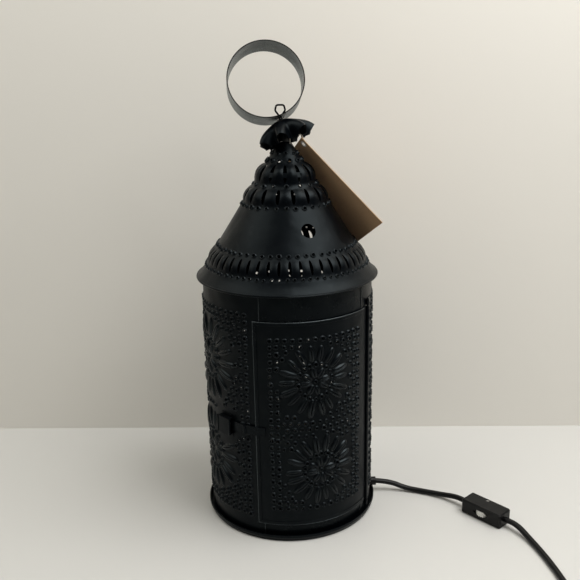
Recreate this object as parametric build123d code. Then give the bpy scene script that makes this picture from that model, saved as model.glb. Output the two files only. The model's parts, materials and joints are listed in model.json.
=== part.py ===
from build123d import *
import os
from math import atan, cos, degrees, pi, radians, sin, sqrt, tan

# Punched tin lantern with an electric lamp, a cord and a cord switch.
# Millimetres, +Z up. The origin is the centre of the base on the table.
# Angles round the lantern are in degrees from the front (-Y), positive towards +X.

os.makedirs("parts", exist_ok=True)

# Sheet, wire and fits
gauge = 0.5             # tin sheet
seat_gap = 0.15         # between formed sheets that touch
run_gap = 0.05          # radial clearance of a turning fit
part_gap = 0.3          # between curved faces on different bodies
cut_over = 6.0          # how far a cutter runs past what it cuts

# Base pan
pan_floor_radius = 79.2
pan_rim_radius = 80.9
pan_rim_height = 6.0
pan_hem_height = 2.2

# Body
body_radius = 77.0
opening_left = -18.3    # edge of the door opening, degrees
opening_right = 56.1
opening_sill = 20.0
opening_head = 201.0
lap_angle = 6.0         # lap of the front strips behind the wrap, degrees

# Door
door_left = -22.6
door_bottom = 15.5
door_top = 206.0
door_hem_width = 3.2
door_hem_gauge = 0.45
hinge_angle = 63.2      # place of the hinge wire, degrees

# Hinge
hinge_wire_radius = 0.8
hinge_eye_height = 5.0
hinge_eye_gap = 1.2     # between an eye and the end of the door's barrel
hinge_tab_width = 11.0
hinge_wire_stub = 1.0   # wire past each eye

# Latch
tongue_end = -42.3      # tip of the tongue, degrees
tongue_root = 9.0       # overlap of the tongue on the door
tongue_height = 8.0
tongue_gauge = 0.7
tongue_mid_z = 106.0
tongue_grip_place = -30.5
tongue_grip_radius = 1.6
keeper_left = -52.0
keeper_right = -41.0
keeper_bottom = 94.0
keeper_top = 115.0
keeper_foot = 3.2
keeper_stand = 3.8      # clear height under the keeper's bridge
keeper_bead_radius = 0.75

# Roof
cone_apex_z = 355.3
cone_slope = 0.637      # radius gained for each unit of height
cone_top_z = 346.0
cone_bottom_z = 239.0
vent_radius = 6.5
vent_z = 276.5
vent_first = 22.0
vent_count = 3
skirt_edge_radius = 82.4
skirt_edge_z = 229.4
skirt_bulge = 0.9       # how far the skirt bows inwards from a straight flare
skirt_bead_radius = 1.0

# Ruffled cap
cap_pivot_z = 355.9     # the point on the axis that the cap is tilted about
cap_rise = 9.17         # from that point up to the crown
cap_height = 19.5
cap_lobes = 7
cap_first_crest = -12.0
cap_lean_left = 19.5    # left side lower
cap_lean_back = 13.0    # back lower
cap_crown_radius = 3.5
cap_rim_mean = 21.1
cap_rim_wave = 6.8
cap_level_shares = (0.0, 0.05, 0.2, 0.45, 0.72, 1.0)
cap_spread_shares = (0.0, 0.23, 0.56, 0.88, 1.0, 1.0)
cap_wave_shares = (0.0, 0.03, 0.2, 0.55, 0.85, 1.0)
cap_arch_radius = 6.4   # arch under each lobe, at the lobe's tip

# Hanger eye and ring handle
eye_wire_radius = 0.8
eye_top_z = 378.4
eye_width = 10.4
eye_waist_z = 368.2
eye_foot_reach = 3.6
eye_shoulder_share = 1.05   # of the eye's half width, down from its top
eye_crown_share = 0.75      # of the eye's half width, where the top begins
eye_foot_bend = 1.2
eye_waist_bend = 2.4
eye_shoulder_bend = 2.2
eye_crown_bend = 2.0
ring_radius = 33.4
ring_width = 28.0
ring_gauge = 0.9
ring_hole_radius = 3.6
ring_pin_z = 366.2
ring_lean = 21.0        # to the left at rest
ring_tip = 17.0         # front edge raised
ring_yaw = 4.4

# Hang tag
tag_angle = 125.0       # side of the roof that the card lies on
tag_stand = 5.3         # from the plain cone to the card
tag_length = 102.0
tag_width = 64.0
tag_gauge = 0.6
tag_turn = 32.0         # the card's long edge from the steepest way down
tag_corner_reach = 9.6  # top corner from the roof's apex, down the card's plane
tag_corner_side = 11.8  # the same corner sideways, towards the front
eyelet_inset = 5.0
eyelet_radius = 3.0
eyelet_bore = 1.6
eyelet_flange = 0.3
thread_radius = 0.35
thread_reach = 1.7      # how far the thread stands off the card
thread_bend = 1.0
thread_knot_angle = 45.0    # where the thread meets the roof's tip
thread_knot_z = 345.0
thread_rise = 8.5       # from there up to its highest point, under the cap

# Lamp
bracket_height = 24.0
bracket_width = 20.0
bracket_span = 46.0
bracket_foot = 11.0
bracket_gauge = 1.5
bracket_screw_radius = 1.9
bracket_head_radius = 3.4
bracket_head_height = 1.8
nipple_radius = 4.9
nipple_bore = 3.5
nipple_length = 14.0
nipple_drop = 4.5       # below the bracket's top plate
nut_across = 14.0
nut_height = 3.0
socket_radius = 19.0
socket_height = 52.0
socket_neck_radius = 11.0
socket_neck_height = 9.0
socket_wall = 2.6
shell_radius = 13.9
shell_wall = 0.4
shell_depth = 27.0
bulb_cap_radius = 13.2
bulb_cap_height = 24.0
bulb_cap_taper = 5.0
bulb_radius = 24.0
bulb_height = 64.0
bulb_neck_height = 16.0
bulb_wall = 0.8

# Cord: round outline of a flat two-wire lead
cord_radius = 2.6
bend_share = 0.45       # part of the shorter run that a bend may take
exit_angle = 92.0
exit_z = 11.0
bushing_flange_radius = 5.6
bushing_flange = 1.6
bushing_snout_radius = 4.1
bushing_snout = 5.2
bushing_inside = 3.0

# Cord switch
switch_length = 42.0
switch_width = 18.0
switch_height = 14.0
switch_x = 181.0
switch_y = -48.0
switch_turn = -48.0
switch_corner = 2.2
switch_edge = 1.1
wheel_radius = 6.9
wheel_height = 4.8
wheel_show = 0.8        # how far the wheel stands past the front face
wheel_gap = 0.35
wheel_knurls = 20
wheel_knurl_radius = 0.55
wheel_axle_radius = 1.6
window_width = 16.0
window_height = 5.6
screw_x = -1.7
screw_y = 5.9
screw_head_radius = 1.7
screw_head_height = 0.6
screw_shank_radius = 0.9
screw_bite = 3.0        # thread held by the lower shell

# Coil of the cord that is put away
coil_middle_radius = 26.0
coil_pitch = 5.7
coil_lift = 0.9
coil_layers = 4
coil_half_turns = 4
coil_x = 222.4          # where the coil's tube begins
coil_y = -213.0
coil_stub = 5.4
tie_gauge = 0.6
tie_gap = 0.25
tie_width = 6.0

# Plug
plug_length = 25.0
plug_width = 22.0
plug_height = 12.0
plug_nose_width = 17.0
plug_corner = 3.0
blade_length = 17.0
blade_width = 6.3
blade_gauge = 1.5
blade_spacing = 12.7

# Cord routes, millimetres, chosen by hand
lead_route = [
    (98.0, 3.4, 9.6), (113.5, 0.8, 3.3), (131.0, -5.0, 2.6),
    (147.5, -13.5, 3.6), (158.58, -23.1, 7.0)]
tail_route = [
    (203.42, -72.9, 7.0), (209.3, -86.0, 3.4), (213.8, -103.0, 2.6),
    (217.3, -123.0, 2.6), (219.8, -146.0, 2.6), (221.6, -170.0, 2.7),
    (222.4, -192.0, 3.5)]
end_route = [
    (166.3, -248.68, 20.6), (149.5, -246.2, 13.6), (134.43, -240.32, 6.0)]
plug_place = (121.5, -231.6)
plug_heading = 146.0
inner_route = [(57.0, 2.0, 7.0), (30.0, 1.0, 4.0), (0.0, 0.0, 4.0)]


# Small helpers
def at(angle, radius, z=0.0):
    """Point at an angle round the lantern."""
    return Vector(radius * sin(radians(angle)), -radius * cos(radians(angle)), z)


def turned(profile, first, last):
    """Solid of revolution of an XZ profile between two angles round the lantern."""
    return Rot(Z=first - 90) * revolve(profile, Axis.Z, last - first)


def band(inner, wall, low, high, first, last):
    """Curved sheet: a band of a cylinder between two angles."""
    profile = Plane.XZ * Pos(inner + wall / 2, (low + high) / 2) * Rectangle(wall, high - low)
    return turned(profile, first, last)


def outline(points):
    """Face in the XZ plane through corner points."""
    return make_face(Plane.XZ * Polyline(*points, close=True))


def spun(points):
    """Full solid of revolution of an XZ outline."""
    return revolve(outline(points), Axis.Z)


def cone_radius(z):
    """Outer radius of the roof at a height."""
    return (cone_apex_z - z) * cone_slope


def angle_of(arc_length, radius):
    """Degrees that a length takes on a radius."""
    return degrees(arc_length / radius)


# Base
def make_base_pan():
    hem_in = pan_rim_radius - 2 * gauge
    return spun([
        (0, 0), (pan_floor_radius, 0), (pan_rim_radius, pan_rim_height - pan_hem_height),
        (pan_rim_radius, pan_rim_height), (hem_in, pan_rim_height),
        (hem_in, pan_rim_height - pan_hem_height), (pan_floor_radius - gauge, gauge), (0, gauge)])


# Body
flare_rise = (cone_bottom_z - skirt_edge_z) / (skirt_edge_radius - cone_radius(cone_bottom_z))
flare_drop = gauge * sqrt(1 + flare_rise ** 2)
body_top = (cone_bottom_z - (body_radius - cone_radius(cone_bottom_z)) * flare_rise
            - flare_drop - skirt_bulge - seat_gap)


def make_body_wrap():
    wrap = band(body_radius - gauge, gauge, gauge, body_top, opening_right, 360 + opening_left)
    hole = Plane(origin=at(exit_angle, 0, exit_z), z_dir=at(exit_angle, 1))
    return wrap - hole * Cylinder(bushing_snout_radius + seat_gap, body_radius + cut_over,
                                  align=(Align.CENTER, Align.CENTER, Align.MIN))


def make_front_strip(low, high):
    return band(body_radius - 2 * gauge, gauge, low, high,
                opening_left - lap_angle, opening_right + lap_angle)


# Door, with its rolled barrel
door_inner = body_radius + part_gap
barrel_bore = hinge_wire_radius + run_gap
barrel_radius = barrel_bore + gauge
hinge_radius = door_inner + barrel_radius
hinge_point = at(hinge_angle, hinge_radius)


def make_door():
    sheet = band(door_inner, gauge, door_bottom, door_top, door_left, hinge_angle)
    hem_in = door_inner + gauge
    hem_angle = angle_of(door_hem_width, hem_in)
    hem_right = hinge_angle - angle_of(barrel_radius, hem_in) - hem_angle
    hems = [
        band(hem_in, door_hem_gauge, door_bottom, door_top, door_left, door_left + hem_angle),
        band(hem_in, door_hem_gauge, door_bottom, door_bottom + door_hem_width,
             door_left, hem_right),
        band(hem_in, door_hem_gauge, door_top - door_hem_width, door_top, door_left, hem_right)]
    height = door_top - door_bottom
    centre = Pos(hinge_point.X, hinge_point.Y, (door_top + door_bottom) / 2)
    barrel = centre * Cylinder(barrel_radius, height)
    bore = centre * Cylinder(barrel_bore, height + cut_over)
    return sheet + hems + barrel - bore


def make_hinge_eye(low):
    tab = band(body_radius, gauge, low, low + hinge_eye_height,
               hinge_angle, hinge_angle + angle_of(hinge_tab_width, body_radius))
    centre = Pos(hinge_point.X, hinge_point.Y, low + hinge_eye_height / 2)
    eye = centre * Cylinder(barrel_radius, hinge_eye_height)
    bore = centre * Cylinder(barrel_bore, hinge_eye_height + cut_over)
    return tab + eye - bore


lower_eye_z = door_bottom - hinge_eye_gap - hinge_eye_height
upper_eye_z = door_top + hinge_eye_gap


def make_hinge_wire():
    low = lower_eye_z - hinge_wire_stub
    high = upper_eye_z + hinge_eye_height + hinge_wire_stub
    return Pos(hinge_point.X, hinge_point.Y, (low + high) / 2) * Cylinder(
        hinge_wire_radius, high - low)


# Latch: a tongue on the door that springs under a keeper on the body
tongue_inner = door_inner + gauge + door_hem_gauge


def make_latch_tongue():
    low = tongue_mid_z - tongue_height / 2
    high = tongue_mid_z + tongue_height / 2
    strip = band(tongue_inner, tongue_gauge, low, high, tongue_end,
                 door_left + angle_of(tongue_root, tongue_inner))
    foot = band(door_inner + gauge, door_hem_gauge, low, high,
                door_left + angle_of(door_hem_width, door_inner + gauge),
                door_left + angle_of(tongue_root, tongue_inner))
    grip_point = at(tongue_grip_place, tongue_inner + tongue_gauge)
    grip = Pos(grip_point.X, grip_point.Y, tongue_mid_z) * Cylinder(
        tongue_grip_radius, tongue_height)
    inside = band(door_inner, tongue_inner - door_inner, low - cut_over, high + cut_over,
                  tongue_end, door_left)
    return strip + foot + (grip - inside)


def make_latch_keeper():
    foot_out = body_radius + gauge
    bridge_in = tongue_inner + tongue_gauge + keeper_stand - (tongue_inner - body_radius)
    bridge_out = bridge_in + gauge
    hat = outline([
        (body_radius, keeper_bottom), (body_radius, keeper_bottom + keeper_foot),
        (bridge_in, keeper_bottom + keeper_foot), (bridge_in, keeper_top - keeper_foot),
        (body_radius, keeper_top - keeper_foot), (body_radius, keeper_top),
        (foot_out, keeper_top), (foot_out, keeper_top - keeper_foot + gauge),
        (bridge_out, keeper_top - keeper_foot + gauge),
        (bridge_out, keeper_bottom + keeper_foot - gauge),
        (foot_out, keeper_bottom + keeper_foot - gauge), (foot_out, keeper_bottom)])
    keeper = turned(hat, keeper_left, keeper_right)
    height = keeper_top - keeper_bottom - 2 * keeper_foot + 2 * gauge
    for side in (keeper_left, keeper_right):
        place = at(side, bridge_out)
        keeper += Pos(place.X, place.Y, (keeper_top + keeper_bottom) / 2) * Cylinder(
            keeper_bead_radius, height)
    return keeper


# Roof
wall_across = gauge * sqrt(1 + cone_slope ** 2)   # sheet measured along the radius
cone_lean = degrees(atan(cone_slope))


def cone_plane(angle, z, lift=0.0):
    """Plane on the roof: Z outwards, X level to the side, at an angle and a height."""
    normal = at(angle, cos(radians(cone_lean)), sin(radians(cone_lean)))
    return Plane(origin=at(angle, cone_radius(z), z) + normal * lift,
                 x_dir=at(angle + 90, 1), z_dir=normal)


def make_roof_cone():
    top = cone_radius(cone_top_z)
    bottom = cone_radius(cone_bottom_z)
    cone = spun([(top - wall_across, cone_top_z), (top, cone_top_z),
                 (bottom, cone_bottom_z), (bottom - wall_across, cone_bottom_z)])
    for index in range(vent_count):
        angle = vent_first + index * 360 / vent_count
        cone -= cone_plane(angle, vent_z) * Cylinder(vent_radius, 2 * cut_over)
    return cone


def make_roof_skirt():
    top = cone_radius(cone_bottom_z)
    edge_in = skirt_edge_radius - gauge
    middle = (top + skirt_edge_radius) / 2
    middle_z = (cone_bottom_z + skirt_edge_z) / 2 - skirt_bulge
    outer = Plane.XZ * ThreePointArc((top, cone_bottom_z), (middle, middle_z),
                                     (skirt_edge_radius, skirt_edge_z))
    inner = Plane.XZ * ThreePointArc((edge_in, skirt_edge_z),
                                     (middle - wall_across, middle_z),
                                     (top - wall_across, cone_bottom_z))
    rim = Plane.XZ * Line((skirt_edge_radius, skirt_edge_z), (edge_in, skirt_edge_z))
    neck = Plane.XZ * Line((top - wall_across, cone_bottom_z), (top, cone_bottom_z))
    sheet = revolve(make_face([outer, rim, inner, neck]), Axis.Z)
    bead = Plane.XZ * Pos(skirt_edge_radius - skirt_bead_radius, skirt_edge_z) * Circle(
        skirt_bead_radius)
    return sheet + revolve(bead, Axis.Z)


# Ruffled cap: fluted sheet, drawn in between its lobes and cut to arches below
def cap_section(share, spread, wave, inset):
    radius = cap_crown_radius + (cap_rim_mean - cap_crown_radius) * spread - inset
    points = []
    for step in range(4 * cap_lobes):
        phase = 2 * pi * step / 4
        angle = cap_first_crest + 360 * step / (4 * cap_lobes)
        points.append(at(angle, radius + cap_rim_wave * wave * cos(phase),
                         cap_rise - cap_height * share))
    return make_face(Spline(*points, periodic=True))


def cap_body(inset, drop):
    faces = [cap_section(*shares, inset) for shares in zip(
        cap_level_shares, cap_spread_shares, cap_wave_shares)]
    return Pos(0, 0, -drop) * loft(faces)


cap_place = Pos(0, 0, cap_pivot_z) * Rot(X=-cap_lean_back) * Rot(Y=-cap_lean_left)
cap_crown = Plane(cap_place * Pos(0, 0, cap_rise))


def make_ruffled_cap():
    cap = cap_body(0, 0) - cap_body(gauge, gauge)
    rim_z = cap_rise - cap_height
    for lobe in range(cap_lobes):
        angle = cap_first_crest + 360 * lobe / cap_lobes
        cutter = Cone(0, 2 * cap_arch_radius, 2 * (cap_rim_mean + cap_rim_wave),
                      align=(Align.CENTER, Align.CENTER, Align.MIN))
        cap -= Plane(origin=at(angle, 0, rim_z), z_dir=at(angle, 1)) * cutter
    hole = Pos(cap_crown.origin) * Cylinder(
        2 * eye_wire_radius + part_gap + seat_gap, 2 * cut_over)
    return cap_place * cap - hole


# Hanger eye
def crown_z(x, below):
    """Height of a plane below the cap's crown, at a distance to the side of its centre."""
    normal = cap_crown.z_dir
    return cap_crown.origin.Z - (below + normal.X * x) / normal.Z


def make_hanger_eye():
    leg = eye_wire_radius + seat_gap / 2
    below = gauge + 2 * part_gap + eye_wire_radius
    half = eye_width / 2 - eye_wire_radius
    top = eye_top_z - eye_wire_radius
    shoulder_z = top - half * eye_shoulder_share
    crown = half * eye_crown_share
    right = [(crown, top), (half, shoulder_z), (leg, eye_waist_z),
             (leg, crown_z(leg, below)), (eye_foot_reach, crown_z(eye_foot_reach, below))]
    left = [(-eye_foot_reach, crown_z(-eye_foot_reach, below)),
            (-leg, crown_z(-leg, below)), (-leg, eye_waist_z),
            (-half, shoulder_z), (-crown, top)]
    bends = [eye_foot_bend, eye_waist_bend, eye_shoulder_bend, eye_crown_bend]
    middle = cap_crown.origin
    corners = [Vector(middle.X + x, middle.Y, z) for x, z in left + right]
    path = FilletPolyline(*corners, radius=bends + bends[::-1])
    section = Plane(origin=corners[0], z_dir=corners[1] - corners[0]) * Circle(eye_wire_radius)
    return sweep(section, path)


# Ring handle
ring_pin = Vector(cap_crown.origin.X, cap_crown.origin.Y, ring_pin_z)


def make_ring_handle():
    middle = ring_radius - ring_gauge / 2
    strap = Cylinder(ring_radius, ring_width) - Cylinder(
        ring_radius - ring_gauge, ring_width + cut_over)
    ring = Pos(0, 0, middle) * Rot(X=90) * strap
    ring -= Cylinder(ring_hole_radius, 2 * cut_over)
    place = Location(ring_pin) * Rot(Z=ring_yaw) * Rot(X=-ring_tip) * Rot(Y=-ring_lean)
    return place * ring


# Hang tag, lying against the roof on its right-hand back
tag_frame = cone_plane(tag_angle, cone_apex_z, tag_stand)


def tag_plane():
    """Card plane: origin at its top corner, X along its long edge, Z outwards."""
    down = tag_frame.y_dir * -1
    side = tag_frame.x_dir * -1
    corner = tag_frame.origin + down * tag_corner_reach + side * tag_corner_side
    turn = radians(tag_turn)
    long_edge = down * cos(turn) + side * sin(turn)
    return Plane(origin=corner, x_dir=long_edge, z_dir=tag_frame.z_dir)


def card_solid(plane):
    card = Pos(tag_length / 2, tag_width / 2, 0) * Box(
        tag_length, tag_width, tag_gauge, align=(Align.CENTER, Align.CENTER, Align.MIN))
    hole = Pos(eyelet_inset, eyelet_inset, 0) * Cylinder(
        eyelet_bore + 2 * eyelet_flange + seat_gap, cut_over)
    return plane * (card - hole)


def make_eyelet(plane):
    height = tag_gauge + 2 * eyelet_flange
    spool = Cylinder(eyelet_radius, height) - Cylinder(eyelet_bore, height + cut_over)
    waist = Cylinder(eyelet_radius + cut_over, tag_gauge) - Cylinder(
        eyelet_bore + 2 * eyelet_flange, tag_gauge + cut_over)
    place = Pos(eyelet_inset, eyelet_inset, tag_gauge / 2)
    return plane * (place * (spool - waist))


def tube(points, radii, radius):
    """Round tube along straight runs joined by tangent arcs."""
    corners = [Vector(*point) for point in points]
    path = FilletPolyline(*corners, radius=radii)
    section = Plane(origin=corners[0], z_dir=corners[1] - corners[0]) * Circle(radius)
    return sweep(section, path), path


def make_thread(plane):
    """Thread from the roof's tip over the card's corner and through the eyelet."""
    eyelet = plane.origin + (plane.x_dir + plane.y_dir) * eyelet_inset
    out = plane.z_dir * thread_reach
    back = (plane.x_dir + plane.y_dir).normalized() * -1
    over = eyelet_inset * sqrt(2) + thread_reach
    knot = at(thread_knot_angle, cone_radius(thread_knot_z) + thread_radius + seat_gap,
              thread_knot_z)
    points = [eyelet - out, eyelet + out, eyelet + out + back * over,
              knot + Vector(0, 0, thread_rise), knot]
    return tube([tuple(p) for p in points], [thread_bend] * 3, thread_radius)[0]


# Lamp
bracket_top = gauge + bracket_height


def make_socket_bracket():
    half = bracket_span / 2
    low = gauge
    profile = Plane.YZ * Polyline(
        (-half - bracket_foot, low), (-half, low), (-half, bracket_top - bracket_gauge),
        (half, bracket_top - bracket_gauge), (half, low), (half + bracket_foot, low),
        (half + bracket_foot, low + bracket_gauge), (half + bracket_gauge, low + bracket_gauge),
        (half + bracket_gauge, bracket_top), (-half - bracket_gauge, bracket_top),
        (-half - bracket_gauge, low + bracket_gauge), (-half - bracket_foot, low + bracket_gauge),
        close=True)
    strap = extrude(make_face(profile), bracket_width / 2, both=True)
    strap -= Pos(0, 0, bracket_top) * Cylinder(nipple_radius + run_gap, 2 * cut_over)
    for side in (-1, 1):
        strap -= bracket_screw_place(side) * Cylinder(bracket_screw_radius + run_gap, 2 * cut_over)
    return strap


def bracket_screw_place(side):
    return Pos(0, side * (bracket_span + bracket_foot + bracket_gauge) / 2, gauge + bracket_gauge)


def make_bracket_screws():
    screws = []
    for side in (-1, 1):
        head = Cylinder(bracket_head_radius, bracket_head_height,
                        align=(Align.CENTER, Align.CENTER, Align.MIN))
        shank = Cylinder(bracket_screw_radius, bracket_gauge,
                         align=(Align.CENTER, Align.CENTER, Align.MAX))
        screws.append(bracket_screw_place(side) * (head + shank))
    return Compound(children=screws)


def make_nipple():
    low = bracket_top - bracket_gauge - nipple_drop
    return Pos(0, 0, low + nipple_length / 2) * (
        Cylinder(nipple_radius, nipple_length) - Cylinder(nipple_bore, nipple_length + cut_over))


def make_nipple_nut():
    face = RegularPolygon(nut_across / 2, 6, major_radius=False) - Circle(nipple_radius + run_gap)
    return Pos(0, 0, bracket_top - bracket_gauge - nut_height) * extrude(face, nut_height)


def make_socket():
    low = bracket_top
    high = low + socket_height
    floor = high - shell_depth - socket_wall
    bore = shell_radius + shell_wall + run_gap
    shoulder = low + socket_neck_height
    return spun([
        (nipple_radius + run_gap, low), (socket_neck_radius, low),
        (socket_neck_radius + socket_wall, shoulder), (socket_radius, shoulder + socket_wall),
        (socket_radius, high), (bore, high), (bore, floor),
        (nipple_radius + run_gap, floor)])


shell_top = bracket_top + socket_height
shell_floor = shell_top - shell_depth - socket_wall


def make_socket_shell():
    outer = shell_radius + shell_wall
    return spun([
        (nipple_radius, shell_floor), (outer, shell_floor), (outer, shell_top),
        (shell_radius, shell_top), (shell_radius, shell_floor + shell_wall),
        (nipple_radius, shell_floor + shell_wall)])


bulb_cap_z = shell_top - bulb_cap_height


def make_bulb_cap():
    tip = bulb_cap_radius - bulb_cap_taper
    return spun([(0, bulb_cap_z - shell_wall), (tip / 2, bulb_cap_z - shell_wall), (tip, bulb_cap_z),
                 (bulb_cap_radius, bulb_cap_z + bulb_cap_taper),
                 (bulb_cap_radius, shell_top), (0, shell_top)])


def make_bulb_glass():
    """Pear-shaped bulb, a thin shell."""
    centre_z = shell_top + bulb_height - bulb_radius

    def half(radius, neck):
        side = Plane.XZ * Spline((neck, shell_top), (neck, shell_top + bulb_neck_height / 2),
                                 (radius, centre_z), tangents=((0, 1), (0, 1)))
        crown = Plane.XZ * ThreePointArc(
            (radius, centre_z),
            (radius * sin(pi / 4), centre_z + radius * cos(pi / 4)), (0, centre_z + radius))
        axis = Plane.XZ * Line((0, centre_z + radius), (0, shell_top))
        floor = Plane.XZ * Line((0, shell_top), (neck, shell_top))
        return revolve(make_face([side, crown, axis, floor]), Axis.Z)

    return half(bulb_radius, bulb_cap_radius) - half(
        bulb_radius - bulb_wall, bulb_cap_radius - bulb_wall)


# Cord
def exit_axis(distance, z=exit_z):
    return at(exit_angle, distance, z)


def make_cord_bushing():
    plane = Plane(origin=exit_axis(0), z_dir=at(exit_angle, 1))
    inside = body_radius - bushing_inside
    end = body_radius + bushing_flange + bushing_snout
    stem = Pos(0, 0, inside) * Cylinder(bushing_snout_radius, end - inside,
                                        align=(Align.CENTER, Align.CENTER, Align.MIN))
    flange = Pos(0, 0, body_radius + seat_gap) * Cylinder(
        bushing_flange_radius, bushing_flange, align=(Align.CENTER, Align.CENTER, Align.MIN))
    bore = Pos(0, 0, inside - cut_over) * Cylinder(
        cord_radius + run_gap, end + cut_over, align=(Align.CENTER, Align.CENTER, Align.MIN))
    return plane * (stem + flange - bore)


def bend_radii(points):
    """Largest arc that each corner's two runs allow."""
    radii = []
    for before, corner, after in zip(points, points[1:], points[2:]):
        first = Vector(*corner) - Vector(*before)
        second = Vector(*after) - Vector(*corner)
        half_turn = radians(first.get_angle(second)) / 2
        radii.append(bend_share * min(first.length, second.length) / tan(half_turn))
    return radii


def cord_tube(name, points):
    radii = bend_radii(points)
    solid, path = tube(points, radii, cord_radius)
    expected = path.length * pi * cord_radius ** 2
    runs = [(Vector(*b) - Vector(*a)).length for a, b in zip(points, points[1:])]
    print(name, "length", round(path.length, 1), "volume over section times length",
          round(solid.volume / expected, 4))
    print("  radii", [round(r, 1) for r in radii], "runs", [round(r, 1) for r in runs])
    return solid, path.length


def switch_end(side):
    """Middle of a switch end face."""
    turn = radians(switch_turn)
    half = side * switch_length / 2
    return (switch_x + half * cos(turn), switch_y + half * sin(turn), switch_height / 2)


# Switch
switch_frame = Pos(switch_x, switch_y, 0) * Rot(Z=switch_turn)
wheel_y = -switch_width / 2 - wheel_show + wheel_radius
split_z = switch_height / 2


def switch_block():
    block = extrude(RectangleRounded(switch_length, switch_width, switch_corner), switch_height)
    rims = block.faces().sort_by(Axis.Z)
    return chamfer(rims[0].edges() + rims[-1].edges(), switch_edge)


def wheel_pocket():
    pocket = Pos(0, wheel_y, split_z) * Cylinder(
        wheel_radius + wheel_gap, wheel_height + 2 * wheel_gap)
    rise = window_height / 2
    lens = make_face([
        Plane.XZ * ThreePointArc((-window_width / 2, split_z), (0, split_z + rise),
                                 (window_width / 2, split_z)),
        Plane.XZ * ThreePointArc((window_width / 2, split_z), (0, split_z - rise),
                                 (-window_width / 2, split_z))])
    window = extrude(lens, switch_width / 2 + cut_over, dir=(0, -1, 0))
    return pocket + window


def switch_half(upper):
    middle = split_z + (split_z if upper else -split_z)
    keep = Pos(0, 0, middle) * Box(2 * switch_length, 2 * switch_width, 2 * split_z)
    return (switch_block() & keep) - wheel_pocket()


def make_switch_lower():
    axle = Pos(0, wheel_y, 0) * Cylinder(
        wheel_axle_radius, split_z + wheel_height / 2 - wheel_gap,
        align=(Align.CENTER, Align.CENTER, Align.MIN))
    screw_hole = Pos(screw_x, screw_y, split_z) * Cylinder(
        screw_shank_radius + run_gap, 2 * (screw_bite + run_gap))
    keep = switch_half(False) + (axle & (switch_block()))
    return switch_frame * (keep - screw_hole)


def make_switch_upper():
    upper = switch_half(True)
    upper -= Pos(screw_x, screw_y, switch_height) * Cylinder(
        screw_head_radius + run_gap, 4 * screw_head_height)
    upper -= Pos(screw_x, screw_y, switch_height) * Cylinder(
        screw_shank_radius + run_gap, 2 * switch_height)
    return switch_frame * upper


def make_switch_screw():
    seat = switch_height - 2 * screw_head_height
    head = Pos(screw_x, screw_y, seat) * Cylinder(
        screw_head_radius, screw_head_height, align=(Align.CENTER, Align.CENTER, Align.MIN))
    shank = Pos(screw_x, screw_y, seat) * Cylinder(
        screw_shank_radius, seat - split_z + screw_bite,
        align=(Align.CENTER, Align.CENTER, Align.MAX))
    return switch_frame * (head + shank)


def make_switch_wheel():
    wheel = Cylinder(wheel_radius, wheel_height) - Cylinder(
        wheel_axle_radius + run_gap, wheel_height + cut_over)
    for index in range(wheel_knurls):
        wheel -= Rot(Z=360 * index / wheel_knurls) * Pos(wheel_radius, 0, 0) * Cylinder(
            wheel_knurl_radius, wheel_height + cut_over)
    return switch_frame * Pos(0, wheel_y, split_z) * wheel


# Coil: the put-away length, in four layers that spiral in and out
def arc_pair(start, start_dir, end, end_dir):
    """Two arcs that meet smoothly between two points with given directions."""
    across = end - start
    along = start_dir + end_dir
    spread = 1 - start_dir.dot(end_dir)
    reach = (sqrt(across.dot(along) ** 2 + 2 * spread * across.dot(across))
             - across.dot(along)) / (2 * spread)
    middle = (start + end + (start_dir - end_dir) * reach) / 2
    return [TangentArc(start, middle, tangent=start_dir),
            TangentArc(end, middle, tangent=end_dir * -1)]


coil_outer = coil_middle_radius + coil_half_turns * coil_pitch / 4
coil_axis = Vector(coil_x - coil_outer, coil_y - coil_stub, 0)
coil_base_z = cord_radius + coil_lift


def coil_stations():
    """Half and quarter turns of the coil: angle turned, radius, height, slope."""
    step = coil_pitch / 2
    angle = 0.0
    radius = coil_outer
    height = coil_base_z
    way = -1
    stations = [(angle, radius, height, 0.0)]
    for layer in range(coil_layers):
        last = layer == coil_layers - 1
        for _ in range(coil_half_turns - (1 if last else 0)):
            angle += pi
            radius += way * step
            stations.append((angle, radius, height, 0.0))
        if last:
            stations.append((angle + pi / 2, radius + way * step / 2, height, 0.0))
        else:
            slope = coil_pitch / (2 * radius)
            stations.append((angle + pi / 2, radius + way * step / 2, height + coil_pitch / 2,
                             slope))
            angle += pi
            height += coil_pitch
            stations.append((angle, radius, height, 0.0))
            way = -way
    return stations


def coil_point(station):
    angle, radius, height, slope = station
    point = coil_axis + Vector(radius * cos(-angle), radius * sin(-angle), height)
    heading = Vector(sin(-angle), -cos(-angle), slope).normalized()
    return point, heading


def make_coil():
    placed = [coil_point(station) for station in coil_stations()]
    first, first_dir = placed[0]
    last, last_dir = placed[-1]
    edges = [Line(first - first_dir * coil_stub, first)]
    for (start, start_dir), (end, end_dir) in zip(placed, placed[1:]):
        edges += arc_pair(start, start_dir, end, end_dir)
    edges.append(Line(last, last + last_dir * coil_stub))
    path = Wire([edge.edge() for edge in edges])
    section = Plane(origin=first - first_dir * coil_stub, z_dir=first_dir) * Circle(cord_radius)
    coil = sweep(section, path)
    expected = path.length * pi * cord_radius ** 2
    print("coil length", round(path.length, 1), "volume over section times length",
          round(coil.volume / expected, 4), "least gap", round(coil_gap(path), 2))
    return coil, path.length, last + last_dir * coil_stub


def coil_gap(path):
    """Least gap between turns, measured on points along the path."""
    count = 40 * coil_layers * coil_half_turns
    points = [path @ (index / count) for index in range(count + 1)]
    spacing = path.length / count
    apart = int(4 * coil_pitch / spacing)
    least = coil_outer
    for index, point in enumerate(points):
        for other in points[index + apart:]:
            least = min(least, (other - point).length - 2 * cord_radius)
    return least


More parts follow.
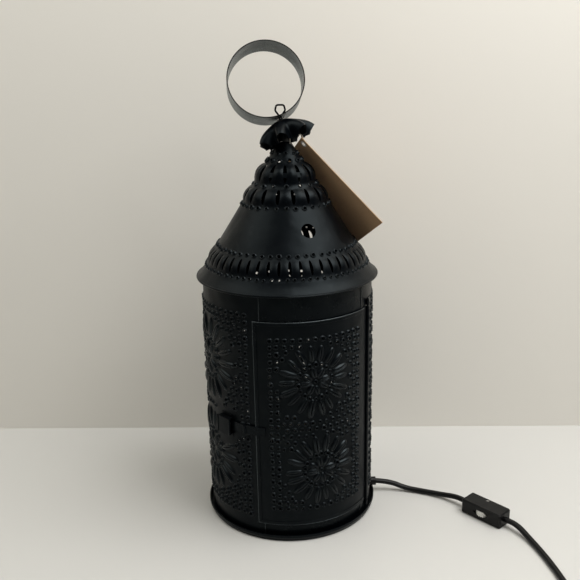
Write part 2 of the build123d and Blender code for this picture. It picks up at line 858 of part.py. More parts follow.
def make_coil_tie():
    reach = coil_half_turns * coil_pitch / 4 + cord_radius + tie_gap
    high = coil_base_z + (coil_layers - 1) * coil_pitch + cord_radius + tie_gap
    low = tie_gauge
    middle = Plane.XZ * Pos(-coil_middle_radius, (high + low) / 2)
    outer = middle * Rectangle(2 * (reach + tie_gauge), high - low + 2 * tie_gauge)
    inner = middle * Rectangle(2 * reach, high - low)
    return Location(coil_axis) * extrude(outer - inner, tie_width / 2, both=True)


# Plug
def plug_frame():
    return Pos(plug_place[0], plug_place[1], 0) * Rot(Z=plug_heading)


def make_plug_body():
    half = plug_width / 2
    nose = plug_nose_width / 2
    rear = cord_radius + plug_corner
    shape = make_face(Polyline(
        (0, -rear), (plug_length / 2, -half), (plug_length, -nose), (plug_length, nose),
        (plug_length / 2, half), (0, rear), close=True))
    body = extrude(shape, plug_height)
    body = fillet(body.edges().filter_by(Axis.Z), plug_corner / 2)
    rims = body.faces().sort_by(Axis.Z)
    body = chamfer(rims[0].edges() + rims[-1].edges(), plug_corner / 3)
    return plug_frame() * body


def make_plug_blades():
    blades = []
    for side in (-1, 1):
        place = Pos(plug_length + blade_length / 2, side * blade_spacing / 2, plug_height / 2)
        blades.append(plug_frame() * place * Box(blade_length, blade_gauge, blade_width))
    return Compound(children=blades)


# Build and save
def save(name, shape):
    export_step(shape, "parts/" + name + ".step")


save("base_pan", make_base_pan())
save("body_wrap", make_body_wrap())
save("front_header", make_front_strip(opening_head, body_top))
save("front_sill", make_front_strip(gauge, opening_sill))
save("door_panel", make_door())
save("hinge_wire", make_hinge_wire())
save("hinge_eye_lower", make_hinge_eye(lower_eye_z))
save("hinge_eye_upper", make_hinge_eye(upper_eye_z))
save("latch_tongue", make_latch_tongue())
save("latch_keeper", make_latch_keeper())
save("roof_cone", make_roof_cone())
save("roof_skirt", make_roof_skirt())
save("ruffled_cap", make_ruffled_cap())
save("hanger_eye", make_hanger_eye())
save("ring_handle", make_ring_handle())
card = tag_plane()
save("tag_card", card_solid(card))
save("tag_eyelet", make_eyelet(card))
save("tag_thread", make_thread(card))
save("socket_bracket", make_socket_bracket())
save("bracket_screws", make_bracket_screws())
save("socket_nipple", make_nipple())
save("nipple_nut", make_nipple_nut())
save("socket_body", make_socket())
save("socket_shell", make_socket_shell())
save("bulb_cap", make_bulb_cap())
save("bulb_glass", make_bulb_glass())
save("cord_bushing", make_cord_bushing())
save("switch_lower", make_switch_lower())
save("switch_upper", make_switch_upper())
save("switch_screw", make_switch_screw())
save("switch_wheel", make_switch_wheel())
save("plug_body", make_plug_body())
save("plug_blades", make_plug_blades())

lead_start = tuple(exit_axis(body_radius + bushing_flange + bushing_snout))
lead, lead_length = cord_tube("lead", [lead_start] + lead_route + [switch_end(-1)])
save("cord_lead", lead)
coil, coil_length, coil_exit = make_coil()
save("cord_coil", coil)
save("coil_tie", make_coil_tie())
coil_start = (coil_x, coil_y, coil_base_z)
tail, tail_length = cord_tube("tail", [switch_end(1)] + tail_route + [coil_start])
save("cord_tail", tail)
plug_rear = (plug_place[0], plug_place[1], plug_height / 2)
end, end_length = cord_tube("end", [tuple(coil_exit)] + end_route + [plug_rear])
save("cord_end", end)
inner_start = tuple(exit_axis(body_radius - bushing_inside))
inner_end = (0, 0, bracket_top - bracket_gauge - nipple_drop)
inner, inner_length = cord_tube("inner", [inner_start] + inner_route + [inner_end])
save("cord_inner", inner)
print("free cord with the switch",
      round(lead_length + switch_length + tail_length + coil_length + end_length))
print("hinge", hinge_point, "ring pin", ring_pin, "body top", round(body_top, 2))
print("wheel", switch_frame * Pos(0, wheel_y, split_z))
print("eyelet", card.origin + (card.x_dir + card.y_dir) * eyelet_inset, "level axis", tag_frame.x_dir)
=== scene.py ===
import json
import math
import random
import bmesh
import bpy
from mathutils import Matrix, Vector
from mathutils.geometry import delaunay_2d_cdt


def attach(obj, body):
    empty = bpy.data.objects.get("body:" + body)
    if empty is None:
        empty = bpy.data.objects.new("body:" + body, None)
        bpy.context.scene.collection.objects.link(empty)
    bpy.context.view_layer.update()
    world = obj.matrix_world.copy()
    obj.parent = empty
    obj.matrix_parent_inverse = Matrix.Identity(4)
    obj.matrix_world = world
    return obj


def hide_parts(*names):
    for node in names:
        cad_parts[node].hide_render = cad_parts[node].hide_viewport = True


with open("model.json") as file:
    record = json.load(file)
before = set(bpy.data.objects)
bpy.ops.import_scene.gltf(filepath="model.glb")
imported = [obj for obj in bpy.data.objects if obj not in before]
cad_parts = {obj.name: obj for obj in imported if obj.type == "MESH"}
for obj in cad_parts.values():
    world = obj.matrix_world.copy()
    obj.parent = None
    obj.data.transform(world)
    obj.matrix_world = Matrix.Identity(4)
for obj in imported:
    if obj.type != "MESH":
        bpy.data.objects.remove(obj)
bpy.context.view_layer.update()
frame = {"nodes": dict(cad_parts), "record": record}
nodes = frame["nodes"]
scene = bpy.context.scene
mm = 0.001

# Angles go round from the camera side, degrees, positive to the right; lengths are millimetres.


def at(angle, radius, z=0.0):
    turn = math.radians(angle)
    return Vector((radius * math.sin(turn), -radius * math.cos(turn), z))


def evenTurns(count, start=0):
    return [2 * math.pi * (index + start) / count for index in range(count)]


def fullSine(turn, fullness):
    # a sine that, with a fullness below one, makes an ellipse squarer
    return math.copysign(abs(math.sin(turn)) ** fullness, math.sin(turn))


def addObject(name, data):
    item = bpy.data.objects.new(name, data)
    scene.collection.objects.link(item)
    return item


def addMesh(name, points, faces, smooth=True):
    mesh = bpy.data.meshes.new(name)
    mesh.from_pydata([Vector(point) * mm for point in points], [], faces)
    mesh.update()
    if smooth:
        mesh.shade_smooth()
    return addObject(name, mesh)


def settle(item):
    # what the modifiers make becomes the mesh
    graph = bpy.context.evaluated_depsgraph_get()
    mesh = bpy.data.meshes.new_from_object(item.evaluated_get(graph), depsgraph=graph)
    item.modifiers.clear()
    item.data = mesh
    return item


def joined(name, items, material):
    # an item that has a material keeps it, the others take the one given
    work = bmesh.new()
    finishes = [material]
    for item in items:
        own = next((kind for kind in item.data.materials if kind), material)
        if own not in finishes:
            finishes.append(own)
        for face in item.data.polygons:
            face.material_index = finishes.index(own)
        work.from_mesh(item.data)
        bpy.data.objects.remove(item)
    mesh = bpy.data.meshes.new(name)
    work.to_mesh(mesh)
    work.free()
    for finish in finishes:
        mesh.materials.append(finish)
    return addObject(name, mesh)


# Camera, at the photograph's own place
cameraView = {
    "place": (0.0, -673.7, 407.2),
    "pitch": 16.18,
    "yaw": 0.20,
    "roll": -1.16,
    "lens": 47.28,
}


def addCamera(view):
    pitch = math.radians(view["pitch"])
    yaw = math.radians(view["yaw"])
    roll = math.radians(view["roll"])
    ahead = Vector((math.sin(yaw) * math.cos(pitch), math.cos(yaw) * math.cos(pitch),
                    -math.sin(pitch)))
    level = Vector((math.cos(yaw), -math.sin(yaw), 0))
    above = level.cross(ahead)
    right = math.cos(roll) * level + math.sin(roll) * above
    up = -math.sin(roll) * level + math.cos(roll) * above
    data = bpy.data.cameras.new("photoView")
    data.lens = view["lens"]
    data.sensor_width = 36
    data.clip_start = 0.01
    item = addObject("photoView", data)
    turn = Matrix((right, up, -ahead)).transposed().to_4x4()
    item.matrix_world = Matrix.Translation(Vector(view["place"]) * mm) @ turn
    scene.camera = item


addCamera(cameraView)
print("camera placed")

# The free cord: out of the lantern, through the switch, round the put-away coil, to the plug
cordSize = {
    "diameter": 5.2,  # across both wires
    "halfThickness": 2.35,
    "waistDepth": 0.16,  # the groove between the wires
    "waistWidth": 0.55,
    "fullness": 0.8,
    "profileSides": 28,
    "length": 1.858,  # metres
    "halfTurnPoints": 8,
}
leadRoute = [(83.75, 2.92, 11.0), (98, 3.4, 9.6), (113.5, 0.8, 3.3), (131, -5, 2.6),
             (147.5, -13.5, 3.6), (158.58, -23.1, 7), (166.948, -32.394, 7)]
tailRoute = [(195.052, -63.606, 7), (203.42, -72.9, 7), (209.3, -86, 3.4), (213.8, -103, 2.6),
             (217.3, -123, 2.6), (219.8, -146, 2.6), (221.6, -170, 2.7), (222.4, -192, 3.5),
             (222.4, -213, 3.5)]
endRoute = [(185.3, -248.675, 20.6), (166.3, -248.68, 20.6), (149.5, -246.2, 13.6),
            (134.43, -240.32, 6), (121.5, -231.6, 6)]
coilShape = {
    "axis": (190.7, -218.4),
    "outer": 31.7,
    "pitch": 5.7,
    "base": 3.5,
    "layers": 4,
}


def coilPoints(coil, count):
    stations = [(0.0, coil["outer"], coil["base"])]
    angle, radius, height = stations[0]
    way = -1
    for layer in range(coil["layers"]):
        isLast = layer == coil["layers"] - 1
        for _ in range(3 if isLast else 4):
            angle += math.pi
            radius += way * coil["pitch"] / 2
            stations.append((angle, radius, height))
        if isLast:
            stations.append((angle + math.pi / 2, radius + way * coil["pitch"] / 4, height))
        else:
            angle += math.pi
            height += coil["pitch"]
            stations.append((angle, radius, height))
            way = -way
    points = []
    for start, end in zip(stations, stations[1:]):
        steps = round(count * (end[0] - start[0]) / math.pi)
        for step in range(1, steps + 1):
            share = step / steps
            turn, radius, height = [a + (b - a) * share for a, b in zip(start, end)]
            points.append((coil["axis"][0] + radius * math.cos(turn),
                           coil["axis"][1] - radius * math.sin(turn), height))
    return points


def cordProfile(size):
    # two round wires side by side in one skin
    data = bpy.data.curves.new("cordProfile", "CURVE")
    data.dimensions = "2D"
    spline = data.splines.new("POLY")
    half = size["diameter"] / 2
    count = size["profileSides"]
    spline.points.add(count - 1)
    for turn, spot in zip(evenTurns(count), spline.points):
        across = half * math.cos(turn)
        waist = 1 - size["waistDepth"] * math.exp(-(across / size["waistWidth"]) ** 2)
        height = size["halfThickness"] * waist * fullSine(turn, size["fullness"])
        spot.co = (across * mm, height * mm, 0, 1)
    spline.use_cyclic_u = True
    item = addObject("cordProfile", data)
    item.hide_render = True
    item.hide_viewport = True
    return item


def addCord(size):
    route = leadRoute + tailRoute + coilPoints(coilShape, size["halfTurnPoints"]) + endRoute
    data = bpy.data.curves.new("mains_cord", "CURVE")
    data.dimensions = "3D"
    spline = data.splines.new("NURBS")
    spline.points.add(len(route) - 1)
    for spot, place in zip(spline.points, route):
        spot.co = (*[value * mm for value in place], 1)
    spline.order_u = 3
    spline.use_endpoint_u = True
    data.twist_mode = "Z_UP"
    data.resolution_u = 8
    data.bevel_mode = "OBJECT"
    data.bevel_object = cordProfile(size)
    data.use_fill_caps = True
    return addObject("mains_cord", data)


cordItem = addCord(cordSize)
print("cord laid")


# Materials
class Value:
    # a socket of a shader graph; arithmetic on it adds math nodes
    def __init__(self, shader, socket):
        self.shader = shader
        self.socket = socket

    def math(self, operation, *others):
        return self.shader.node("Math", {"operation": operation}, [self, *others])

    def __add__(self, other):
        return self.math("ADD", other)

    def __mul__(self, other):
        return self.math("MULTIPLY", other)

    def __sub__(self, other):
        return self.math("SUBTRACT", other)

    def __rsub__(self, other):
        return self.shader.node("Math", {"operation": "SUBTRACT"}, [other, self])

    __radd__ = __add__
    __rmul__ = __mul__

    def step(self, low, high):
        return self.shader.node("MapRange", {"interpolation_type": "SMOOTHSTEP"},
                                {"Value": self, "From Min": low, "From Max": high})


class Shader:
    def __init__(self, name):
        self.material = bpy.data.materials.new(name)
        self.material.use_nodes = True
        self.tree = self.material.node_tree
        self.surface = self.tree.nodes["Principled BSDF"]
        self.place = self.node("TexCoord", {}, {}, "Object")

    def node(self, kind, settings, inputs, output=0):
        made = self.tree.nodes.new("ShaderNode" + kind)
        for key, value in settings.items():
            setattr(made, key, value)
        items = inputs.items() if isinstance(inputs, dict) else enumerate(inputs)
        for key, value in items:
            self.feed(made.inputs[key], value)
        return Value(self, made.outputs[output])

    def feed(self, socket, value):
        if isinstance(value, Value):
            self.tree.links.new(value.socket, socket)
        else:
            socket.default_value = value

    def noise(self, scale, detail=3.0, stretch=(1, 1, 1)):
        where = self.node("Mapping", {}, {"Vector": self.place, "Scale": stretch})
        return self.node("TexNoise", {}, {"Vector": where, "Scale": scale, "Detail": detail})

    def blend(self, share, first, second):
        mix = self.tree.nodes.new("ShaderNodeMix")
        mix.data_type = "RGBA"
        self.feed(mix.inputs["Factor"], share)
        self.feed(mix.inputs["A"], first)
        self.feed(mix.inputs["B"], second)
        return Value(self, mix.outputs["Result"])

    def bump(self, height, distance, below=None):
        inputs = {"Height": height, "Distance": distance, "Strength": 1.0}
        if below:
            inputs["Normal"] = below
        return self.node("Bump", {}, inputs)

    def finish(self, **inputs):
        for key, value in inputs.items():
            self.feed(self.surface.inputs[key.replace("_", " ")], value)
        return self.material


def colour(red, green, blue):
    return (red, green, blue, 1)


def paintedTin(name, look):
    # satin black over tin: soft dents, fine orange peel, rubbed patches, dust on what faces up, a
    # painted highlight on crests
    made = Shader(name)
    dents = made.noise(look["dentScale"], 1.5)
    peel = made.noise(look["peelScale"], 2)
    patches = made.noise(look["patchScale"], 4)
    rubbed = made.noise(look["rubScale"], 5).step(*look["rubRange"])
    facing = made.node("SeparateXYZ", {}, {0: made.node("NewGeometry", {}, {}, "Normal")}, "Z")
    specks = made.noise(look["dustScale"], 4).step(0.35, 0.8)
    dust = facing.step(0.35, 1.0) * specks * look["dust"]
    base = made.blend(patches, look["dark"], look["light"])
    base = made.blend(rubbed * look["rub"], base, look["worn"])
    base = made.blend(dust, base, look["dustColour"])
    # the crests of the punch marks and of the bowed strips get a lighter bluish colour, a painted
    # highlight that stands in for the glints they catch
    crestHighlight = made.node("NewGeometry", {}, {}, "Pointiness").step(*look["crestHighlightRange"])
    base = made.blend(crestHighlight * look["crestHighlight"], base, look["crestHighlightColour"])
    rough = look["rough"] + (patches - 0.5) * 0.22 + dust * 0.4 - rubbed * 0.07 - crestHighlight * 0.12
    coarse = made.bump(dents, look["dent"])
    return made.finish(Base_Color=base, Roughness=rough, Metallic=look["metal"],
                       Specular_IOR_Level=look["gloss"], Specular_Tint=look["tint"],
                       Normal=made.bump(peel, look["peel"], coarse))


tinLook = {
    "dark": colour(0.0006, 0.0009, 0.0015),
    "light": colour(0.0014, 0.0022, 0.0034),
    "worn": colour(0.011, 0.012, 0.0135),
    "dustColour": colour(0.025, 0.027, 0.028),
    "dust": 0.12,
    "rub": 0.3,
    "rubRange": (0.58, 0.78),
    # painted highlight on the crests: its colour, how much of it, and over what pointiness
    "crestHighlightColour": colour(0.04, 0.048, 0.056),
    "crestHighlight": 0.0,
    "crestHighlightRange": (0.55, 0.66),
    "gloss": 0.11,
    "tint": colour(0.78, 0.94, 1.0),
    "rough": 0.36,
    "metal": 0.0,
    "dent": 0.0016,  # how deep the soft dents are, metres
    "dentScale": 38,
    "peel": 0.00006,
    "peelScale": 1900,
    "patchScale": 26,
    "rubScale": 150,
    "dustScale": 420,
}
ringLook = {**tinLook, "dark": colour(0.009, 0.008, 0.007), "light": colour(0.021, 0.019, 0.0165),
            "worn": colour(0.055, 0.051, 0.046), "rough": 0.36, "metal": 0.3, "dent": 0.001,
            "gloss": 0.3}
wireLook = {**tinLook, "dark": colour(0.002, 0.002, 0.0018), "light": colour(0.005, 0.0045, 0.004),
            "rough": 0.4, "dent": 0.0002, "gloss": 0.15}
# the punch lips and the bowed strips carry the painted crest highlight
lipLook = {**tinLook, "crestHighlight": 0.5, "gloss": 0.22, "rough": 0.3}
stripLook = {**tinLook, "crestHighlight": 0.4}
# lighter, glossier paint for the bead and edge strips: a painted highlight along edges that catch
# the light
edgeHighlightLook = {**tinLook, "dark": colour(0.008, 0.009, 0.01), "light": colour(0.02, 0.022, 0.024),
            "worn": colour(0.05, 0.052, 0.054), "rough": 0.3, "dent": 0.0002, "gloss": 0.6}


cardLook = {
    "dark": colour(0.43, 0.265, 0.143),
    "light": colour(0.6, 0.39, 0.225),
    "cloud": colour(0.47, 0.3, 0.17),
    "speck": colour(0.1, 0.062, 0.035),
    "rough": 0.82,
    "fibreScale": 900,
    "fibreHeight": 0.00012,
    "cloudScale": 60,
    "speckScale": 2600,
}


def kraftCard(name, look):
    made = Shader(name)
    fibres = made.noise(look["fibreScale"], 6, (1, 1, 0.25))
    clouds = made.noise(look["cloudScale"], 3)
    specks = made.noise(look["speckScale"], 2).step(0.66, 0.74)
    base = made.blend(fibres, look["dark"], look["light"])
    base = made.blend(clouds * 0.35, base, look["cloud"])
    base = made.blend(specks * 0.5, base, look["speck"])
    return made.finish(Base_Color=base, Roughness=look["rough"] + fibres * 0.12,
                       Normal=made.bump(fibres, look["fibreHeight"]))


# dark and light colour, roughness, how fine the grain is and how high, metres
plainLooks = {
    "eyelet": {"dark": colour(0.72, 0.7, 0.66), "light": colour(0.86, 0.84, 0.8), "rough": 0.5,
               "grain": 900, "height": 0.00004},
    "thread": {"dark": colour(0.5, 0.46, 0.39), "light": colour(0.7, 0.66, 0.58), "rough": 0.85,
               "grain": 2600, "height": 0.0002},
    "lamp_steel": {"dark": colour(0.42, 0.42, 0.41), "light": colour(0.6, 0.6, 0.58),
                   "rough": 0.34, "grain": 1400, "height": 0.00003, "metal": 1.0,
                   "stretch": (1, 1, 0.1)},
    "socket_plastic": {"dark": colour(0.018, 0.014, 0.012), "light": colour(0.035, 0.028, 0.024),
                       "rough": 0.33, "grain": 700, "height": 0.00004},
    "lamp_brass": {"dark": colour(0.5, 0.34, 0.11), "light": colour(0.75, 0.56, 0.25),
                   "rough": 0.27, "grain": 1200, "height": 0.00003, "metal": 1.0,
                   "stretch": (1, 1, 0.15)},
    "bulb_metal": {"dark": colour(0.6, 0.6, 0.6), "light": colour(0.8, 0.8, 0.79), "rough": 0.26,
                   "grain": 1300, "height": 0.00003, "metal": 1.0},
    "cord_plastic": {"dark": colour(0.002, 0.002, 0.0022), "light": colour(0.0055, 0.0055, 0.006),
                     "rough": 0.34, "grain": 1500, "height": 0.00005, "gloss": 0.2},
    "switch_plastic": {"dark": colour(0.002, 0.002, 0.0021), "light": colour(0.006, 0.006, 0.0062),
                       "rough": 0.4, "grain": 1100, "height": 0.00006, "gloss": 0.2},
    "wheel_plastic": {"dark": colour(0.78, 0.77, 0.73), "light": colour(0.9, 0.89, 0.85),
                      "rough": 0.45, "grain": 1000, "height": 0.00004},
    "blade_brass": {"dark": colour(0.56, 0.42, 0.17), "light": colour(0.78, 0.62, 0.32),
                    "rough": 0.24, "grain": 1500, "height": 0.00003, "metal": 1.0,
                    "stretch": (1, 0.1, 1)},
}


def plainStuff(name, look):
    # plastics, brass, steel and thread: clouded colour, a grain in gloss and height
    made = Shader(name)
    clouds = made.noise(look["grain"] / 12, 3)
    grain = made.noise(look["grain"], 4, look.get("stretch", (1, 1, 1)))
    marks = made.noise(look["grain"] * 0.4, 5).step(0.6, 0.8)
    base = made.blend(clouds * 0.7 + grain * 0.3, look["dark"], look["light"])
    rough = look["rough"] + (grain - 0.5) * 0.16 + marks * 0.1
    return made.finish(Base_Color=base, Roughness=rough, Metallic=look.get("metal", 0.0),
                       Specular_IOR_Level=look.get("gloss", 0.5),
                       Normal=made.bump(grain, look["height"]))


glassLook = {
    "dark": colour(0.93, 0.94, 0.93),
    "light": colour(0.99, 0.98, 0.95),
    "rough": 0.02,
    "filmScale": 55,
    "filmHeight": 0.00002,
    "smearScale": 320,
}


def clearGlass(name, look):
    made = Shader(name)
    film = made.noise(look["filmScale"], 3)
    smear = made.noise(look["smearScale"], 4).step(0.5, 0.8)
    base = made.blend(film, look["dark"], look["light"])
    return made.finish(Base_Color=base, Roughness=look["rough"] + smear * 0.07, IOR=1.5,
                       Transmission_Weight=1.0, Normal=made.bump(film, look["filmHeight"]))


tinLooks = {"painted_tin": tinLook, "painted_edge_highlight": edgeHighlightLook, "punch_lips": lipLook,
            "bowed_strips": stripLook, "ring_tin": ringLook, "wire": wireLook}
materials = {slot: paintedTin(slot, look) for slot, look in tinLooks.items()}
materials |= {slot: plainStuff(slot, look) for slot, look in plainLooks.items()}
materials["card"] = kraftCard("card", cardLook)
materials["bulb_glass"] = clearGlass("bulb_glass", glassLook)
for part in frame["record"]["subparts"]:
    for slot in nodes[part["node"]].material_slots:
        slot.material = materials[part["material_slot"]]
print("materials made")

# Punch marks: a torn crater for a nail hole, a raised lip for a chisel slit
markShapes = {
    "craterSides": 10,
    # radius and height from the foot over the torn lip and into the hole, for a hole of radius one
    "craterRings": ((1.9, -0.2), (1.55, 0.36), (1.22, 0.88), (0.99, 0.78), (0.93, -0.35)),
    "tear": (-0.1, 0.14),
    "craterShake": 0.05,
    "craterFoot": 1.12,  # how much wider than its hole a crater is made
    "craterSpin": 3.1,
    "slitSides": 18,
    # half length, half width and height from the foot over the two lips and into the slit
    "slitRings": ((0.57, 3.2, -0.25), (0.53, 2.65, 0.85), (0.47, 1.65, 1.8), (0.4, 0.55, 2.1),
                  (0.38, 0.4, -0.4)),
    "slitFullness": 0.8,
    "slitEndHeight": 0.35,  # how high the ends stay, as a share of the middle
    "slitBow": (0.75, 2.5),  # how far the lips drop towards the ends, and how late
    "slitShake": 0.08,
    "slitSpin": 0.03,
    "sizeRange": (0.88, 1.14),
    "variants": 4,
    "seed": 11,
}
lipRings = (2, 3)


def craterMesh(name, shapes, chance):
    sides = shapes["craterSides"]
    shake = shapes["craterShake"]
    points = []
    for place, (radius, height) in enumerate(shapes["craterRings"]):
        for turn in evenTurns(sides):
            tear = chance.uniform(*shapes["tear"]) if place in lipRings else 0
            reach = radius * (1 + chance.uniform(-shake, shake)) if place in (1, 2) else radius
            points.append((reach * math.cos(turn), reach * math.sin(turn), height + tear))
    return ringSkin(name, points, sides)


def slitMesh(name, shapes, chance):
    # along x, one long
    sides = shapes["slitSides"]
    ends = shapes["slitEndHeight"]
    shake = shapes["slitShake"]
    drop, power = shapes["slitBow"]
    points = []
    for place, (reach, width, height) in enumerate(shapes["slitRings"]):
        for turn in evenTurns(sides):
            along = math.cos(turn)
            bow = 1 - drop * abs(along) ** power
            lift = height * (ends + (1 - ends) * bow) if height > 0 else height
            lift += chance.uniform(-shake, shake) if place in lipRings else 0
            points.append((reach * along, width * fullSine(turn, shapes["slitFullness"]), lift))
    return ringSkin(name, points, sides)


def ringFaces(low, high, count):
    # between two closed rings of points, given by the number of their first point
    return [(low + side, low + (side + 1) % count, high + (side + 1) % count, high + side)
            for side in range(count)]


def ringSkin(name, points, count):
    faces = []
    for low in range(0, len(points) - count, count):
        faces += ringFaces(low, low + count, count)
    return addMesh(name, points, faces)


def markCollection(name, maker, shapes):
    group = bpy.data.collections.new(name)
    chance = random.Random(shapes["seed"])
    for index in range(shapes["variants"]):
        item = maker(name + str(index), shapes, chance)
        scene.collection.objects.unlink(item)
        group.objects.link(item)
    return group


def markGraph(shapes):
    # stands one of a collection's marks on every point, by the point's own aim, along and size
    graph = bpy.data.node_groups.new("punchMarks", "GeometryNodeTree")
    asked = (("Geometry", "Geometry"), ("Marks", "Collection"), ("Finish", "Material"),
             ("Seed", "Int"), ("Spread", "Float"))
    for title, kind in asked:
        graph.interface.new_socket(title, in_out="INPUT", socket_type="NodeSocket" + kind)
    graph.interface.new_socket("Geometry", in_out="OUTPUT", socket_type="NodeSocketGeometry")
    entry = graph.nodes.new("NodeGroupInput").outputs
    leave = graph.nodes.new("NodeGroupOutput").inputs

    def node(kind, inputs, output=0, **settings):
        item = graph.nodes.new(kind)
        for key, value in settings.items():
            setattr(item, key, value)
        for key, value in inputs.items():
            if isinstance(value, bpy.types.NodeSocket):
                graph.links.new(value, item.inputs[key])
            else:
                item.inputs[key].default_value = value
        return item.outputs[output]

    def named(title):
        return node("GeometryNodeInputNamedAttribute", {"Name": title}, "Attribute",
                    data_type="FLOAT_VECTOR")

    def chance(low, high, shift):
        # its own seed, so that turn and size don't go together
        seed = node("ShaderNodeMath", {0: entry["Seed"], 1: shift})
        return node("FunctionNodeRandomValue", {2: low, 3: high, "Seed": seed}, 1)

    align = "FunctionNodeAlignRotationToVector"
    upright = node(align, {"Vector": named("aim")}, axis="Z")
    turned = node(align, {"Vector": named("along"), "Rotation": upright}, axis="X", pivot_axis="Z")
    shake = node("ShaderNodeMath", {0: chance(-1, 1, 3), 1: entry["Spread"]},
                 operation="MULTIPLY")
    spin = node("FunctionNodeEulerToRotation", {0: node("ShaderNodeCombineXYZ", {"Z": shake})})
    rotation = node("FunctionNodeRotateRotation", {"Rotation": turned, "Rotate By": spin},
                    rotation_space="LOCAL")
    size = node("ShaderNodeVectorMath",
                {0: named("size"), "Scale": chance(*shapes["sizeRange"], 7)}, operation="SCALE")
    pick = node("FunctionNodeRandomValue",
                {4: 0, 5: shapes["variants"] - 1, "Seed": entry["Seed"]}, 2, data_type="INT")
    kinds = node("GeometryNodeCollectionInfo", {"Collection": entry["Marks"],
                                                "Separate Children": True, "Reset Children": True})
    stand = node("GeometryNodeInstanceOnPoints",
                 {"Points": entry["Geometry"], "Instance": kinds, "Pick Instance": True,
                  "Instance Index": pick, "Rotation": rotation, "Scale": size})
    real = node("GeometryNodeRealizeInstances", {0: stand})
    dress = node("GeometryNodeSetMaterial", {"Geometry": real, "Material": entry["Finish"]})
    graph.links.new(dress, leave[0])
    return graph


craters = markCollection("crater", craterMesh, markShapes)
slits = markCollection("slit", slitMesh, markShapes)
marks = markGraph(markShapes)


def standMarks(name, spots, group, seed, spread):
    # spots are (place, aim, along, size) in millimetres
    item = addMesh(name, [spot[0] for spot in spots], [])
    for column, title in ((1, "aim"), (2, "along"), (3, "size")):
        layer = item.data.attributes.new(title, "FLOAT_VECTOR", "POINT")
        for entry, spot in zip(layer.data, spots):
            entry.vector = spot[column]
    modifier = item.modifiers.new("marks", "NODES")
    modifier.node_group = marks
    values = {"Marks": group, "Finish": materials["punch_lips"], "Seed": seed, "Spread": spread}
    for socket in marks.interface.items_tree:
        if socket.name in values:
            modifier[socket.identifier] = values[socket.name]
    return settle(item)


# Pierced sheets: a flat pattern is cut, triangulated, wrapped on its form and thickened
sheetMake = {
    "gauge": 0.5,
    "merge": 0.02,
    "sharpAngle": 50,
}


class Cylinder:
    # flat x runs round the outside, y up
    def __init__(self, radius):
        self.radius = radius

    def flat(self, angle, z):
        return (math.radians(angle) * self.radius, z)

    def box(self, first, last, low, high):
        return (self.flat(first, 0)[0], self.flat(last, 0)[0], low, high)

    def place(self, x, y, height=0.0):
        return at(math.degrees(x / self.radius), self.radius + height, y)

    def aim(self, x, y):
        return at(math.degrees(x / self.radius), 1)

    def keeps(self, x, y):
        return True


class Cone:
    # flat is the unrolled cone, with its tip at the origin
    def __init__(self, tip, slope, low, high):
        self.tip = tip
        self.sine = slope / math.hypot(1, slope)
        self.cosine = 1 / math.hypot(1, slope)
        self.near = (tip - high) / self.cosine
        self.far = (tip - low) / self.cosine

    def flat(self, angle, z):
        turn = math.radians(angle) * self.sine
        reach = (self.tip - z) / self.cosine
        return (reach * math.sin(turn), -reach * math.cos(turn))

    def polar(self, x, y):
        angle = math.degrees(math.atan2(x, -y)) / self.sine
        return angle, self.tip - math.hypot(x, y) * self.cosine

    def place(self, x, y, height=0.0):
        angle, z = self.polar(x, y)
        return at(angle, math.hypot(x, y) * self.sine, z) + self.aim(x, y) * height

    def aim(self, x, y):
        angle, _ = self.polar(x, y)
        return at(angle, self.cosine, self.sine)

    def keeps(self, x, y):
        # the triangles also span the hollow side of the unrolled cone, which isn't sheet
        reach = math.hypot(x, y)
        return self.near < reach * 1.004 and reach < self.far and abs(self.polar(x, y)[0]) < 180.001


def circle(x, y, radius, sides, start=0.0):
    return [(x + radius * math.cos(turn + start), y + radius * math.sin(turn + start))
            for turn in evenTurns(sides)]


def lens(x, y, turn, length, width, sides=8):
    points = []
    for along, across in circle(0, 0, 0.5, sides):
        along *= length
        across *= width
        points.append((x + along * math.cos(turn) - across * math.sin(turn),
                       y + along * math.sin(turn) + across * math.cos(turn)))
    return points


def cutSheet(name, form, edge, cuts, fill, relief=None):
    # edge and cuts are closed loops of flat points, fill is loose points between them
    points = []
    lines = []
    owner = []
    for number, loop in enumerate([edge] + cuts):
        first = len(points)
        points += [Vector(point) for point in loop]
        owner += [number] * len(loop)
        lines += [(first + index, first + (index + 1) % len(loop)) for index in range(len(loop))]
    points += [Vector(point) for point in fill]
    owner += [0] * len(fill)
    flat, _, faces, origins, _, _ = delaunay_2d_cdt(points, lines, [], 0, 1e-4, True)
    belongs = [owner[origin[0]] if origin else 0 for origin in origins]
    kept = []
    for face in faces:
        inside = {belongs[index] for index in face}
        if len(inside) == 1 and inside != {0}:
            continue
        centre = sum((flat[index] for index in face), Vector((0, 0))) / 3
        if form.keeps(centre.x, centre.y):
            kept.append(face)
    placed = [form.place(x, y, relief(x, y) if relief else 0.0) for x, y in flat]
    item = addMesh(name, placed, kept)
    work = bmesh.new()
    work.from_mesh(item.data)
    bmesh.ops.remove_doubles(work, verts=work.verts, dist=sheetMake["merge"] * mm)
    bmesh.ops.delete(work, geom=[vert for vert in work.verts if not vert.link_faces],
                     context="VERTS")
    bmesh.ops.recalc_face_normals(work, faces=work.faces)
    some = work.faces[:][len(work.faces) // 2]
    if some.normal.dot(some.calc_center_median() * Vector((1, 1, 0))) < 0:
        bmesh.ops.reverse_faces(work, faces=work.faces)
    work.to_mesh(item.data)
    work.free()
    item.data.shade_smooth()
    thick = item.modifiers.new("thick", "SOLIDIFY")
    thick.thickness = sheetMake["gauge"] * mm
    thick.offset = -1
    settle(item)
    item.data.set_sharp_from_angle(angle=math.radians(sheetMake["sharpAngle"]))
    return item


